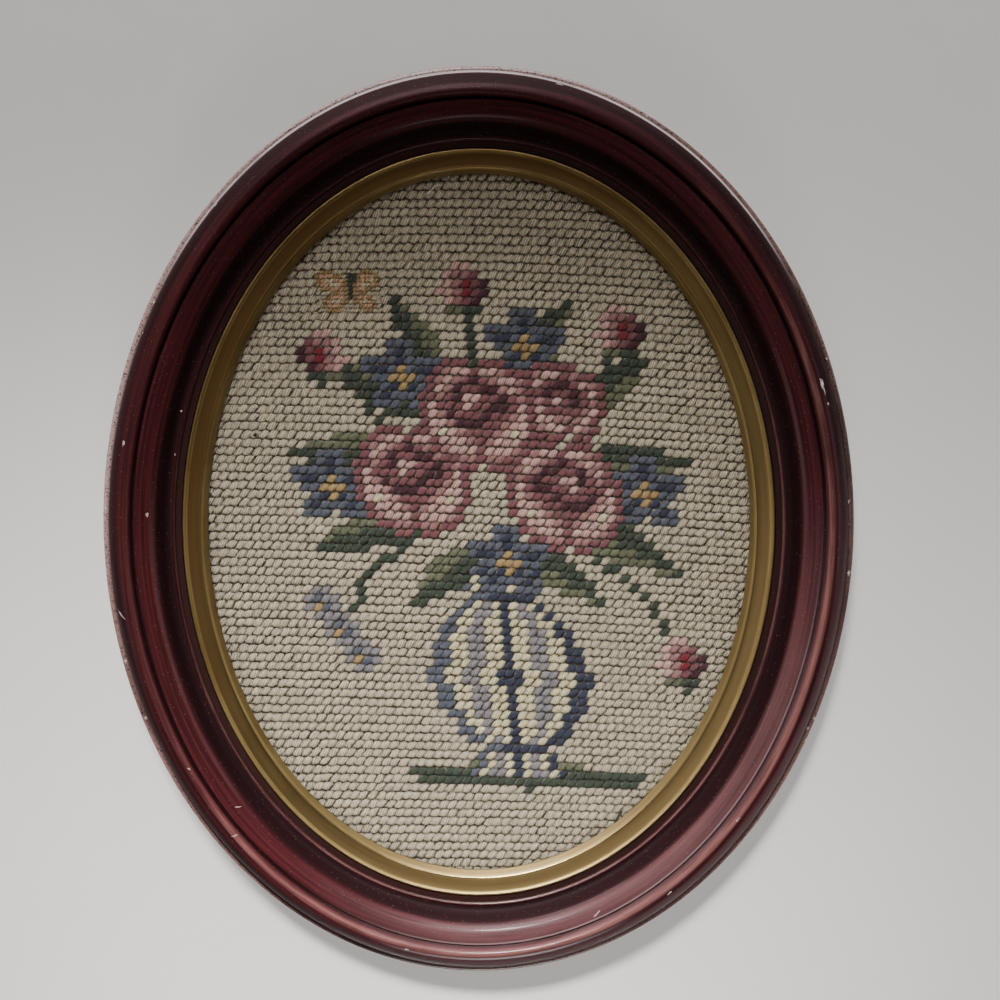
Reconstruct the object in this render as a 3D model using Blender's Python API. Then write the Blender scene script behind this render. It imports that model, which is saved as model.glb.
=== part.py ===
"""Oval framed needlepoint picture, lying on its back.

The picture's top points to +Y and its face to +Z. The origin is the middle of the flat back.
A turned moulding holds a gilt slip, and the slip holds the worked canvas over its board.
"""

import math

import bmesh
import bpy
from mathutils import Vector

MM = 0.001

# Driving dimensions
FRAME_WIDTH = 260 * MM
FRAME_HEIGHT = 316 * MM
TURNS = 96
FIT_GAP = 0.3

# Both sections are drawn in millimetres: the inset runs inwards from the frame's outer edge, and
# the height runs up from the flat back. A row of one point is a corner; a longer row is the
# control points of a Bezier curve, which is cut into the stated number of steps.
LIP_EDGE = 26.4
LIP_UNDERSIDE = 7.4
RABBET_WALL = 22.2
MOULDING_ROWS = (
    # (steps, ((inset, height), ...))
    (0, ((0, 0),)),  # back corner, below the straight side
    (3, ((0, 14.2), (0, 15.3), (1.5, 15.3))),  # rim
    (5, ((2.1, 15.5), (3.2, 20.6), (8.2, 21.6))),  # outer slope of the bead
    (3, ((8.7, 21.6), (10.0, 21.5), (10.4, 19.4))),  # inner slope of the bead
    (2, ((10.5, 18.7), (10.9, 18.0), (11.3, 18.7))),  # quirk
    (8, ((11.5, 19.2), (20.2, 19.0), (19.0, 11.4), (22.2, 11.2))),  # ogee band and cove
    (3, ((22.9, 11.2), (23.7, 12.8), (24.5, 11.0))),  # arris
    (0, ((LIP_EDGE, 10.8),)),  # ledge
    (0, ((LIP_EDGE, LIP_UNDERSIDE),)),
    (0, ((RABBET_WALL, LIP_UNDERSIDE),)),
    (0, ((RABBET_WALL, 0),)),
)

BACK_RECESS = 1.6
SIGHT_EDGE = 35.0
SLIP_UNDERSIDE = 7.3
SLIP_RABBET = 28.8
SLIP_ROWS = (
    (0, ((RABBET_WALL + FIT_GAP, BACK_RECESS),)),
    (0, ((RABBET_WALL + FIT_GAP, LIP_UNDERSIDE - FIT_GAP),)),  # tongue under the lip
    (0, ((LIP_EDGE + FIT_GAP, LIP_UNDERSIDE - FIT_GAP),)),
    (4, ((26.7, 11.2), (27.2, 12.5), (28.1, 11.3))),  # rounded rim
    (2, ((32.2, 10.7), (33.0, 11.1), (33.4, 10.5))),  # flat facet up to its ridge
    (0, ((SIGHT_EDGE, 8.0),)),  # inner bevel
    (0, ((SIGHT_EDGE, SLIP_UNDERSIDE),)),
    (0, ((SLIP_RABBET, SLIP_UNDERSIDE),)),
    (0, ((SLIP_RABBET, BACK_RECESS),)),
)

# Board, and the worked canvas over it
PICTURE_RADIUS = FRAME_WIDTH / 2 - (SLIP_RABBET + FIT_GAP) * MM
BOARD_THICKNESS = 2.4 * MM
CANVAS_THICKNESS = 2.6 * MM
CANVAS_RINGS = 8
CANVAS_SPOKES = 64
PUCKER_DEPTH = 0.35 * MM
PUCKERS_ROUND_EDGE = 9
SAG_WAVE = Vector((165, 233)) * MM


def clear_scene():
    for obj in list(bpy.data.objects):
        bpy.data.objects.remove(obj, do_unlink=True)


def material(name, colour, roughness, metallic):
    made = bpy.data.materials.new(name)
    made.use_nodes = True
    shader = made.node_tree.nodes["Principled BSDF"]
    shader.inputs["Base Color"].default_value = (*colour, 1)
    shader.inputs["Roughness"].default_value = roughness
    shader.inputs["Metallic"].default_value = metallic
    return made


def bezier(controls, steps):
    """Points along the Bezier curve with these control points, both ends included."""
    curve = []
    for step in range(steps + 1):
        level = controls
        while len(level) > 1:
            level = [a.lerp(b, step / steps) for a, b in zip(level, level[1:])]
        curve.append(level[0])
    return curve


def section_points(rows):
    points = []
    for steps, controls in rows:
        controls = [Vector(control) * MM for control in controls]
        points += bezier(controls, steps) if steps else controls
    return points


def stretch_to_oval(mesh):
    """Oval turning: every turned circle gets longer by the same length."""
    stretch = (FRAME_HEIGHT - FRAME_WIDTH) / 2
    for vert in mesh.verts:
        radius = math.hypot(vert.co.x, vert.co.y)
        vert.co.y += stretch * vert.co.y / radius


def add_object(name, mesh, finish, sharp_angle):
    bmesh.ops.recalc_face_normals(mesh, faces=mesh.faces)
    data = bpy.data.meshes.new(name)
    mesh.to_mesh(data)
    mesh.free()
    data.shade_smooth()
    data.set_sharp_from_angle(angle=math.radians(sharp_angle))
    data.materials.append(finish)
    obj = bpy.data.objects.new(name, data)
    bpy.context.scene.collection.objects.link(obj)
    return obj


def oval_ring(name, rows, finish):
    """Turns a closed section round +Z and stretches it to the frame's oval."""
    mesh = bmesh.new()
    corners = [
        mesh.verts.new((FRAME_WIDTH / 2 - point.x, 0, point.y))
        for point in section_points(rows)
    ]
    edges = [mesh.edges.new(pair) for pair in zip(corners, corners[1:] + corners[:1])]
    bmesh.ops.spin(
        mesh,
        geom=corners + edges,
        cent=(0, 0, 0),
        axis=(0, 0, 1),
        angle=2 * math.pi,
        steps=TURNS,
    )
    bmesh.ops.remove_doubles(mesh, verts=mesh.verts, dist=0.01 * MM)
    stretch_to_oval(mesh)
    return add_object(name, mesh, finish, sharp_angle=35)


def pucker(x, y):
    """How far the worked canvas dips: pulls that die out inwards, and a shallow wide sag."""
    stretch = (FRAME_HEIGHT - FRAME_WIDTH) / 2
    reach = math.hypot(x / PICTURE_RADIUS, y / (PICTURE_RADIUS + stretch))
    pull = (1 + math.sin(PUCKERS_ROUND_EDGE * math.atan2(y, x))) / 2
    sag = (1 + math.cos(math.tau * x / SAG_WAVE.x) * math.cos(math.tau * y / SAG_WAVE.y)) / 2
    return PUCKER_DEPTH * (pull * reach**3 + sag) / 2


def needlepoint_canvas(finish):
    """One worked oval sheet: flat below on its board, gently uneven on top."""
    bottom = (BACK_RECESS + FIT_GAP) * MM + BOARD_THICKNESS
    mesh = bmesh.new()
    bmesh.ops.create_circle(
        mesh, cap_ends=True, segments=CANVAS_SPOKES, radius=PICTURE_RADIUS
    )
    middle = mesh.faces[:]
    for ring in range(CANVAS_RINGS - 1):
        bmesh.ops.inset_region(
            mesh, faces=middle, thickness=PICTURE_RADIUS / CANVAS_RINGS
        )
    bmesh.ops.translate(mesh, verts=mesh.verts, vec=(0, 0, bottom))
    stretch_to_oval(mesh)
    raised = bmesh.ops.extrude_face_region(mesh, geom=mesh.faces[:])["geom"]
    for item in raised:
        if isinstance(item, bmesh.types.BMVert):
            item.co.z += CANVAS_THICKNESS - pucker(item.co.x, item.co.y)
    return add_object("needlepoint_canvas", mesh, finish, sharp_angle=50)


def backing_board(finish):
    middle = BACK_RECESS * MM + BOARD_THICKNESS / 2
    mesh = bmesh.new()
    bmesh.ops.create_cone(
        mesh,
        cap_ends=True,
        segments=TURNS,
        radius1=PICTURE_RADIUS,
        radius2=PICTURE_RADIUS,
        depth=BOARD_THICKNESS,
    )
    bmesh.ops.translate(mesh, verts=mesh.verts, vec=(0, 0, middle))
    stretch_to_oval(mesh)
    return add_object("backing_board", mesh, finish, sharp_angle=35)


def main():
    clear_scene()
    burgundy = material("burgundy_wood", (0.09, 0.018, 0.024), 0.32, 0)
    gold = material("gold_paint", (0.35, 0.23, 0.075), 0.4, 0.85)
    wool = material("greige_wool", (0.36, 0.31, 0.24), 0.95, 0)
    board = material("plain_board", (0.32, 0.24, 0.15), 0.9, 0)
    pieces = [
        oval_ring("frame_moulding", MOULDING_ROWS, burgundy),
        oval_ring("gilt_slip", SLIP_ROWS, gold),
        needlepoint_canvas(wool),
        backing_board(board),
    ]
    picture = bpy.data.objects.new("picture", None)
    bpy.context.scene.collection.objects.link(picture)
    for piece in pieces:
        piece.parent = picture


main()
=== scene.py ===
# %% [markdown]
# # An oval framed needlepoint
#
# The object is a hand-worked needlepoint picture in a turned oval frame, lying on its back. The
# maker of the frame turned two wooden rings, stained the wide one burgundy and painted the narrow
# slip inside it gold. The stitcher covered a canvas with slanting wool stitches, and the canvas
# went over a board.
#
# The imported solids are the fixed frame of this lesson. The outer size, the edge of the canvas and
# the height of the work are read from them, so each finished piece sits where its solid says,
# with nothing to fit afterwards.

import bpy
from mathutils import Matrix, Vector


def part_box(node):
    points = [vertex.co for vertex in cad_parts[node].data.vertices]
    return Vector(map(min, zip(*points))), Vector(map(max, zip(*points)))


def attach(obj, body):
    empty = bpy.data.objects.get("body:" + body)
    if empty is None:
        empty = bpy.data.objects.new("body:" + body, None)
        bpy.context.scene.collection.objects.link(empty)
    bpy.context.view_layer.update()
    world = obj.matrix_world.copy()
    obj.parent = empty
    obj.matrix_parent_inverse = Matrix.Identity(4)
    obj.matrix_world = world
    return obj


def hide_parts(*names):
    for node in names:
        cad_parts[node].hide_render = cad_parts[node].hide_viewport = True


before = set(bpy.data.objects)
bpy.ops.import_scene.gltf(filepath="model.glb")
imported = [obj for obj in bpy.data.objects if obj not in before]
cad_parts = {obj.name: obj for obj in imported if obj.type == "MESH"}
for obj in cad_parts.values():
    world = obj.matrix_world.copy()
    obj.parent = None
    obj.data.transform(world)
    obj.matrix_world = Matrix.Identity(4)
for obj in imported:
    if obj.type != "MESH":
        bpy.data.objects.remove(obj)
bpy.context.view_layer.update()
print("nodes:", sorted(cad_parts))

# %% Tools and measures
import math

import bpy
import numpy as np
from mathutils import Matrix, Quaternion, Vector
from mathutils.bvhtree import BVHTree

MM = 0.001
DOWN = Vector((0, 0, -1))
frame_low, frame_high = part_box("frame_moulding")
HALF_WIDTH = frame_high.x
HALF_HEIGHT = frame_high.y
STRETCH = HALF_HEIGHT - HALF_WIDTH
random = np.random.default_rng(1887)
print("frame in mm:", HALF_WIDTH * 2 / MM, "by", HALF_HEIGHT * 2 / MM)

# %% [markdown]
# ## Camera, light and floor
#
# The camera hangs over the picture, a little above its middle, and looks almost straight down.
# From so near, the far and near walls of the frame show at different slants, which is what tells
# the eye that the rim stands up.

# %% Camera
CAMERA_PLACE = Vector((7.4, 74.1, 564)) * MM
CAMERA_TILT = 6.5
LENS = 57.6

bpy.ops.object.camera_add(location=CAMERA_PLACE, rotation=(math.radians(-CAMERA_TILT), 0, 0))
camera = bpy.context.object
camera.data.lens = LENS
camera.data.sensor_width = 36
camera.data.clip_start = 0.01
bpy.context.scene.camera = camera
print("camera at", tuple(round(value, 3) for value in camera.location))

# %% [markdown]
# A wide window stands low beyond the top of the picture, a little to the left. Its light comes in
# so flat that the top of the moulding shades the upper third of the wool, and it lights the lower
# slopes that face it. A small box with a grid, higher up, brightens the lower half of the wool.
# A large card near the camera is seen only in the gloss: it lights nothing that is matt. Weak
# boxes fill the sides and the front, and the room around is a dim, warm grey.

# %% Lights
LIGHTS = (
    # (name, place, target, size, watts, tint, spread in degrees)
    ("window", (-0.20, 1.16, 0.205), (0, 0, 0), (1.5, 0.16), 13, (1, 0.985, 0.96), 180),
    ("grid_softbox", (-0.14, 0.55, 0.75), (-0.03, -0.27, 0), (0.3, 0.1), 0.9, (1, 0.985, 0.96), 36),
    ("left_softbox", (-1.0, -0.1, 0.4), (0, 0, 0), (0.7, 0.5), 0.95, (1, 0.98, 0.95), 180),
    ("right_softbox", (1.0, 0.1, 0.4), (0, 0, 0), (0.7, 0.5), 1.2, (1, 0.98, 0.96), 180),
    ("near_card", (-0.08, 0.4, 0.42), (0.03, -0.17, 0), (0.8, 0.36), 0.8, (1, 0.99, 0.99), 46),
    ("front_softbox", (0.05, -0.75, 0.4), (0.02, -0.155, 0.015), (0.5, 0.12), 0.1, (1, 0.98, 0.96), 36),
)
for name, place, target, size, watts, tint, spread in LIGHTS:
    bpy.ops.object.light_add(type="AREA", location=place)
    light = bpy.context.object
    light.name = name
    light.data.shape = "RECTANGLE"
    light.data.size, light.data.size_y = size
    light.data.energy = watts
    light.data.color = tint
    light.data.spread = math.radians(spread)
    light.rotation_euler = (Vector(target) - Vector(place)).to_track_quat("-Z", "Y").to_euler()
bpy.data.objects["near_card"].visible_diffuse = False

world = bpy.data.worlds.new("studio")
bpy.context.scene.world = world
world.use_nodes = True
room = world.node_tree.nodes["Background"].inputs
room["Color"].default_value = (0.90, 0.76, 0.62, 1)
room["Strength"].default_value = 0.095

# %% [markdown]
# ## Shared helpers
#
# Everything selected takes part in an operator, so each new piece starts by deselecting the
# others. A finished piece keeps its place in its mesh and its object at the origin.
#
# Materials are put together from small functions that add one node or two. Where an input is
# given a socket instead of a value, the two are linked.

# %% Modelling helpers
def begin():
    """Object mode with nothing selected."""
    if bpy.context.mode != "OBJECT":
        bpy.ops.object.mode_set(mode="OBJECT")
    bpy.ops.object.select_all(action="DESELECT")


def edit_all():
    bpy.ops.object.mode_set(mode="EDIT")
    bpy.ops.mesh.select_all(action="SELECT")


def settle(piece, name, material, smooth_below=40):
    """Names a finished piece, fixes its place in its mesh and shades it."""
    begin()
    piece.select_set(True)
    bpy.context.view_layer.objects.active = piece
    bpy.ops.object.transform_apply(location=True, rotation=True, scale=True)
    piece.name = piece.data.name = name
    piece.data.materials.clear()
    piece.data.materials.append(material)
    bpy.ops.object.shade_smooth_by_angle(angle=math.radians(smooth_below))
    print(name, "has", sum(len(face.vertices) - 2 for face in piece.data.polygons), "triangles")


def points_of(mesh):
    found = np.empty(len(mesh.vertices) * 3, np.float32)
    mesh.vertices.foreach_get("co", found)
    return found.reshape(-1, 3).astype(float)


def move_points(mesh, points):
    mesh.vertices.foreach_set("co", points.astype(np.float32).ravel())
    mesh.update()


def add_attribute(mesh, name, kind, values):
    """Stores one value for each point, for the materials to read."""
    made = mesh.attributes.new(name, kind, "POINT")
    key = "vector" if kind == "FLOAT_VECTOR" else "value"
    made.data.foreach_set(key, np.asarray(values, np.float32).ravel())


def surface_of(piece):
    """The faces of a piece, ready to be hit by rays."""
    return BVHTree.FromPolygons(
        [vert.co for vert in piece.data.vertices],
        [tuple(face.vertices) for face in piece.data.polygons],
    )


# %% Material helpers
def connect(tree, inputs, values):
    """Sets each input to its value, or links it where the value is a socket."""
    for name, value in values.items():
        if isinstance(value, bpy.types.NodeSocket):
            tree.links.new(value, inputs[name])
        else:
            inputs[name].default_value = value


def add_node(tree, kind, values=None, **settings):
    made = tree.nodes.new("ShaderNode" + kind)
    for name, value in settings.items():
        setattr(made, name, value)
    connect(tree, made.inputs, values or {})
    return made


def new_material(name):
    """A material, its node tree and the inputs of its shader."""
    made = bpy.data.materials.new(name)
    made.use_nodes = True
    return made, made.node_tree, made.node_tree.nodes["Principled BSDF"].inputs


def new_group(name, takes, gives):
    """An empty node group, what it takes and where its results go."""
    group = bpy.data.node_groups.new(name, "ShaderNodeTree")
    for way, sockets in (("INPUT", takes), ("OUTPUT", gives)):
        for socket, kind in sockets.items():
            group.interface.new_socket(socket, in_out=way, socket_type="NodeSocket" + kind)
    taken = group.nodes.new("NodeGroupInput").outputs
    return group, taken, group.nodes.new("NodeGroupOutput").inputs


def place_group(tree, group, values):
    return add_node(tree, "Group", values, node_tree=group).outputs


def object_place(tree):
    return add_node(tree, "TexCoord").outputs["Object"]


def read_attribute(tree, name, output="Fac"):
    return add_node(tree, "Attribute", attribute_name=name).outputs[output]


# The rest start from a value or a vector, and add their nodes to the tree that it belongs to.


def calculate(operation, first, *others):
    """One value from one or more, taken from left to right."""
    for other in others or (0,):
        values = {0: first, 1: other}
        first = add_node(first.id_data, "Math", values, operation=operation).outputs[0]
    return first


def times(*values):
    return calculate("MULTIPLY", *values)


def plus(*values):
    return calculate("ADD", *values)


def largest(*values):
    return calculate("MAXIMUM", *values)


def ramp(value, low, high, start=0, end=1):
    """Rises smoothly from start to end as the value goes from low to high."""
    reach = {"Value": value, "From Min": low, "From Max": high, "To Min": start, "To Max": end}
    made = add_node(value.id_data, "MapRange", reach, interpolation_type="SMOOTHSTEP")
    return made.outputs["Result"]


def between(value, low, full_from, full_to, high):
    """A mask that is 1 inside a stretch and fades to 0 at its two ends."""
    return times(ramp(value, low, full_from), ramp(value, high, full_to))


def line_at(value, middle, reach, core):
    """A mask for a line: 1 within core of its middle, 0 beyond its reach."""
    return ramp(calculate("ABSOLUTE", calculate("SUBTRACT", value, middle)), reach, core)


def blend_colours(share, first, second):
    """The first colour where share is 0, and the second where it is 1."""
    colours = {0: share, 6: first, 7: second}
    return add_node(share.id_data, "Mix", colours, data_type="RGBA").outputs[2]


def layered(colour, *layers):
    """Lays colours one over another, each as far as its mask says."""
    for mask, over in layers:
        colour = blend_colours(mask, colour, over)
    return colour


def noise(vector, scale, detail, roughness=0.5):
    grain = {"Vector": vector, "Scale": scale, "Detail": detail, "Roughness": roughness}
    return add_node(vector.id_data, "TexNoise", grain).outputs["Fac"]


def stretched(vector, scale):
    values = {"Vector": vector, "Scale": scale}
    return add_node(vector.id_data, "Mapping", values).outputs["Vector"]


def bump(height, distance, strength):
    raised = {"Height": height, "Distance": distance, "Strength": strength}
    return add_node(height.id_data, "Bump", raised).outputs["Normal"]


def linear(red, green, blue):
    """A colour given on a 0 to 255 scale, as the shader wants it."""
    values = [channel / 255 for channel in (red, green, blue)]
    return tuple(v / 12.92 if v < 0.04045 else ((v + 0.055) / 1.055) ** 2.4 for v in values) + (1,)


print("helpers ready")

# %% [markdown]
# The floor is a plain pale sheet, faintly lit from below as on a light table, which keeps the
# shadow of the frame soft.

# %% Floor
begin()
bpy.ops.mesh.primitive_plane_add(size=6, location=(0, 0, frame_low.z - 0.2 * MM))
floor = bpy.context.object
pale, tree, finish = new_material("pale_floor")
grain = noise(object_place(tree), 60, 3)
sheet_colour = blend_colours(grain, (0.80, 0.79, 0.775, 1), (0.86, 0.85, 0.835, 1))
lit = {"Emission Color": (1.0, 0.985, 0.965, 1), "Emission Strength": 0.25}
connect(tree, finish, {"Base Color": sheet_colour, "Roughness": 0.85, **lit})
settle(floor, "floor", pale)

# %% [markdown]
# ## The two turned rings
#
# An oval frame is turned on a lathe whose head slides as it spins, so its section stays the same
# all the way round. The section is drawn once as a line of points, spun round the upright axis,
# and each turned circle is then stretched by the same length into an oval.
#
# The tables say how far in from the outer edge each point lies and how high it is, in
# millimetres. A row of several points is a curve, and the first number is how many steps it
# gets. They are the solids' own sections with more steps and a rounded sight edge.

# %% Sections
LIP_EDGE, LIP_UNDERSIDE, RABBET_WALL = 26.4, 7.4, 22.2
MOULDING_ROWS = (
    # (steps, ((inset, height), ...))
    (0, ((0, 0),)),
    (8, ((0, 14.2), (0, 15.3), (1.5, 15.3))),  # rim
    (16, ((2.1, 15.5), (3.2, 20.6), (8.2, 21.6))),  # outer slope of the bead
    (10, ((8.7, 21.6), (10.0, 21.5), (10.4, 19.4))),  # inner slope of the bead
    (5, ((10.5, 18.7), (10.9, 18.0), (11.3, 18.7))),  # quirk
    (28, ((11.5, 19.2), (20.2, 19.0), (19.0, 11.4), (22.2, 11.2))),  # ogee band and cove
    (8, ((22.9, 11.2), (23.7, 12.8), (24.5, 11.0))),  # arris
    (0, ((LIP_EDGE, 10.8),)),
    (0, ((LIP_EDGE, LIP_UNDERSIDE),)),
    (0, ((RABBET_WALL, LIP_UNDERSIDE),)),
    (0, ((RABBET_WALL, 0),)),
)
FIT_GAP, BACK_RECESS, SIGHT_EDGE, SLIP_UNDERSIDE, SLIP_RABBET = 0.3, 1.6, 35.0, 7.3, 28.8
SLIP_ROWS = (
    (0, ((RABBET_WALL + FIT_GAP, BACK_RECESS),)),
    (0, ((RABBET_WALL + FIT_GAP, LIP_UNDERSIDE - FIT_GAP),)),
    (0, ((LIP_EDGE + FIT_GAP, LIP_UNDERSIDE - FIT_GAP),)),
    (12, ((26.7, 11.2), (27.2, 12.5), (28.1, 11.3))),  # rounded rim
    (6, ((32.2, 10.7), (33.0, 11.1), (33.4, 10.5))),  # facet up to its ridge
    (0, ((34.9, 8.1),)),
    (3, ((SIGHT_EDGE, 8.0), (SIGHT_EDGE + 0.1, 7.8), (SIGHT_EDGE, 7.6))),
    (0, ((SIGHT_EDGE, SLIP_UNDERSIDE),)),
    (0, ((SLIP_RABBET, SLIP_UNDERSIDE),)),
    (0, ((SLIP_RABBET, BACK_RECESS),)),
)


def bezier(controls, steps):
    """Points along the curve with these control points, both ends included."""
    curve = []
    for step in range(steps + 1):
        level = controls
        while len(level) > 1:
            level = [a.lerp(b, step / steps) for a, b in zip(level, level[1:])]
        curve.append(level[0])
    return curve


def section_points(rows):
    """The section as upright points on the right side of the frame, in metres."""
    drawn = []
    for steps, controls in rows:
        controls = [Vector(control) * MM for control in controls]
        drawn += bezier(controls, steps) if steps else controls
    return [Vector((HALF_WIDTH - point.x, 0, point.y)) for point in drawn]


print("moulding section has", len(section_points(MOULDING_ROWS)), "points")

# %% [markdown]
# A single point is extruded from corner to corner, which draws the section, and the spin tool
# turns it. Afterwards each point is told what the finish needs to know: how far along and across
# the moulding it lies, whether its part of the section stands proud or lies in a hollow, and how
# often hands and dusters reach it and how well it is lit, both most low down and on the right. The
# hollows are painted darker, as painted shade, and the stain rubs off crests, most of all low
# down and on the right.

# %% Turning a ring
TURNS = 256
RELIEF_REACH = 3.5 * MM
RELIEF_SAMPLES = 1200


def relief_along(section):
    """How far each point of a section stands above the mean of its neighbourhood, in mm."""
    line = np.array([(point.x, point.z) for point in section])
    steps = np.hypot(*np.diff(line, axis=0).T)
    distance = np.concatenate(([0], np.cumsum(steps)))
    fine = np.linspace(0, distance[-1], RELIEF_SAMPLES)
    height = np.interp(fine, distance, line[:, 1])
    near = np.exp(-(((fine[:, None] - fine[None, :]) / RELIEF_REACH) ** 2))
    mean = near @ height / near.sum(1)
    return distance, np.interp(distance, fine, (height - mean) / MM)


def turned_ring(rows):
    """Spins a section into a ring, tells its points where they lie, and makes it oval."""
    section = section_points(rows)
    begin()
    bpy.ops.mesh.primitive_plane_add(size=1 * MM, location=section[0])
    ring = bpy.context.object
    bpy.ops.object.transform_apply(location=True)
    edit_all()
    bpy.ops.mesh.merge(type="CENTER")
    for here, there in zip(section, section[1:] + section[:1]):
        bpy.ops.mesh.extrude_region_move(TRANSFORM_OT_translate={"value": there - here})
    bpy.ops.mesh.select_all(action="SELECT")
    bpy.ops.mesh.remove_doubles(threshold=0.01 * MM)
    bpy.ops.mesh.spin(steps=TURNS, angle=math.tau, center=(0, 0, 0), axis=(0, 0, 1))
    bpy.ops.mesh.select_all(action="SELECT")
    bpy.ops.mesh.remove_doubles(threshold=0.01 * MM)
    bpy.ops.mesh.normals_make_consistent(inside=False)
    bpy.ops.object.mode_set(mode="OBJECT")

    mesh = ring.data
    points = points_of(mesh)
    radius = np.hypot(points[:, 0], points[:, 1])
    line = np.array([(point.x, point.z) for point in section])
    gaps = np.hypot(radius[:, None] - line[:, 0], points[:, 2:] - line[:, 1])
    nearest = gaps.argmin(1)
    distance, relief = relief_along(section)
    girth = HALF_WIDTH + STRETCH / 2
    lay = np.column_stack(
        (points[:, 0] / radius * girth, points[:, 1] / radius * girth, distance[nearest])
    )
    add_attribute(mesh, "lay", "FLOAT_VECTOR", lay)
    add_attribute(mesh, "relief", "FLOAT", relief[nearest])
    on_flat_back = points[:, 2] < 1 * MM
    inset = np.where(on_flat_back, 0, (HALF_WIDTH - radius) / MM)
    add_attribute(mesh, "inset", "FLOAT", inset)
    points[:, 1] *= 1 + STRETCH / radius
    # How often hands reach a place and how well it is lit: the finishes paint more light low down and
    # on the right, and painted shade at the top.
    handled_and_lit = 0.42 - 0.50 * points[:, 1] / HALF_HEIGHT + 0.33 * points[:, 0] / HALF_WIDTH
    add_attribute(mesh, "handled_and_lit", "FLOAT", handled_and_lit.clip(0, 1))
    move_points(mesh, points)
    return ring


print("rings are turned in", TURNS, "steps")

# %% [markdown]
# The burgundy is a stained glaze. Its hollows and outer slope are painted near black, as painted
# shade, and it shows long faint streaks where the cloth wiped it round the frame. The streaks and
# clouds are one node group, because the gold paint was brushed round in the same way.

# %% Streaks
def streak_group():
    """Streaks that run along a turned ring, cloudy patches and specks, all from its lay."""
    gives = {"Streaks": "Float", "Clouds": "Float", "Specks": "Float"}
    group, takes, result = new_group("wiped_streaks", {"Lay": "Vector"}, gives)
    lay = takes["Lay"]
    specks = add_node(group, "TexVoronoi", {"Vector": lay, "Scale": 650})
    marks = {
        "Streaks": noise(stretched(lay, (14, 14, 900)), 1, 4, 0.6),
        "Clouds": noise(stretched(lay, (40, 40, 110)), 1, 3, 0.55),
        "Specks": specks.outputs["Distance"],
    }
    connect(group, result, marks)
    return group


wiped_streaks = streak_group()


def ring_measures(tree):
    """What the points of a turned ring know about themselves, and the streaks round it."""
    lay = read_attribute(tree, "lay", "Vector")
    known = [read_attribute(tree, name) for name in ("relief", "inset", "handled_and_lit")]
    return lay, *known, place_group(tree, wiped_streaks, {"Lay": lay})


print("streak group ready")

# %% [markdown]
# Handling has rubbed thin pale lines along the crest, the shoulder below it and the arris, and
# these lines are also painted highlights, strongest low down and on the right. It has left a pinkish
# haze there too, which is partly painted sheen. The outer rim has lost its glaze to knocks, most
# of all at the top; its colour is also painted light, pink as a painted reflection at the top and
# lighter than its shade low down. The pale line along its inner edge at the top is a painted
# glint. Every mark is a mask made from how far in a point lies, how often hands reach it and how
# well it is lit.

# %% Wear and painted light on the lacquer
RIM_LINE, CREST, SHOULDER, ARRIS = 1.85, 8.9, 11.75, 23.6  # mm in from the outer edge

burgundy, tree, finish = new_material("burgundy_lacquer")
lay, relief, inset, handled_and_lit, marks = ring_measures(tree)
uneven = plus(marks["Clouds"], marks["Streaks"])
reach = plus(uneven, times(handled_and_lit, 0.75))

cove = between(inset, 17.3, 19.0, 22.2, 23.0)
hollow = times(largest(ramp(relief, 0.1, -0.9), cove), 0.92)
outer_slope = ramp(inset, 7.6, 5.0, 0, 0.70)
ledge = ramp(inset, 22.6, 24.4, 0, 0.8)
on_band = between(inset, CREST, 10.2, 17.0, 18.6)
on_slope = ramp(inset, 7.0, 5.0)
on_rim = between(inset, 0.01, 0.2, 0.8, 3.0)

film_and_painted_sheen = times(largest(on_band, on_slope), ramp(handled_and_lit, 0.6, 0.95))
scoured = noise(stretched(lay, (60, 60, 4200)), 1, 2, 0.6)
crest_rub_and_highlight = times(
    line_at(inset, CREST, 1.6, 0.2),
    ramp(reach, 1.15, 1.75, 0.06, 0.72),
    ramp(scoured, 0.35, 0.6, 0.45, 1),
)
often = ramp(handled_and_lit, 0.7, 0.95, 0, 0.35)
shoulder_rub_and_highlight = times(line_at(inset, SHOULDER, 0.5, 0.1), often)
now_and_then = ramp(reach, 1.1, 1.9, 0, 0.5)
arris_rub_and_highlight = times(line_at(inset, ARRIS, 0.9, 0.2), now_and_then)

left_alone = calculate("SUBTRACT", uneven, times(handled_and_lit, 0.9))
knocks_and_light = plus(ramp(left_alone, 0.15, 0.9), ramp(handled_and_lit, 0.8, 1, 0, 0.7))
grit = ramp(noise(lay, 1500, 2), 0.30, 0.50)
rim_wear_and_painted_light = times(on_rim, knocks_and_light, grit)
rim_colour_with_painted_light = blend_colours(ramp(handled_and_lit, 0.2, 0), (0.32, 0.18, 0.165, 1), (0.56, 0.38, 0.37, 1))
# painted glint: a near white line along the rim's inner edge at the top
painted_glint_line = times(
    line_at(inset, RIM_LINE, 0.5, 0.2),
    ramp(add_node(tree, "SeparateXYZ", {"Vector": lay}).outputs["Y"], 0.07, 0.115),
    ramp(uneven, 0.75, 1.05, 0.45, 1),
)
cells = add_node(tree, "TexVoronoi", {"Vector": lay, "Scale": 270}).outputs
small_chips = times(
    ramp(cells["Distance"], 0.16, 0.11),
    ramp(cells["Color"], 0.62, 0.66),
    largest(ramp(on_rim, 0.3, 0.7), ramp(relief, 1.7, 2.1)),
)
print("masks of wear ready")
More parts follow.
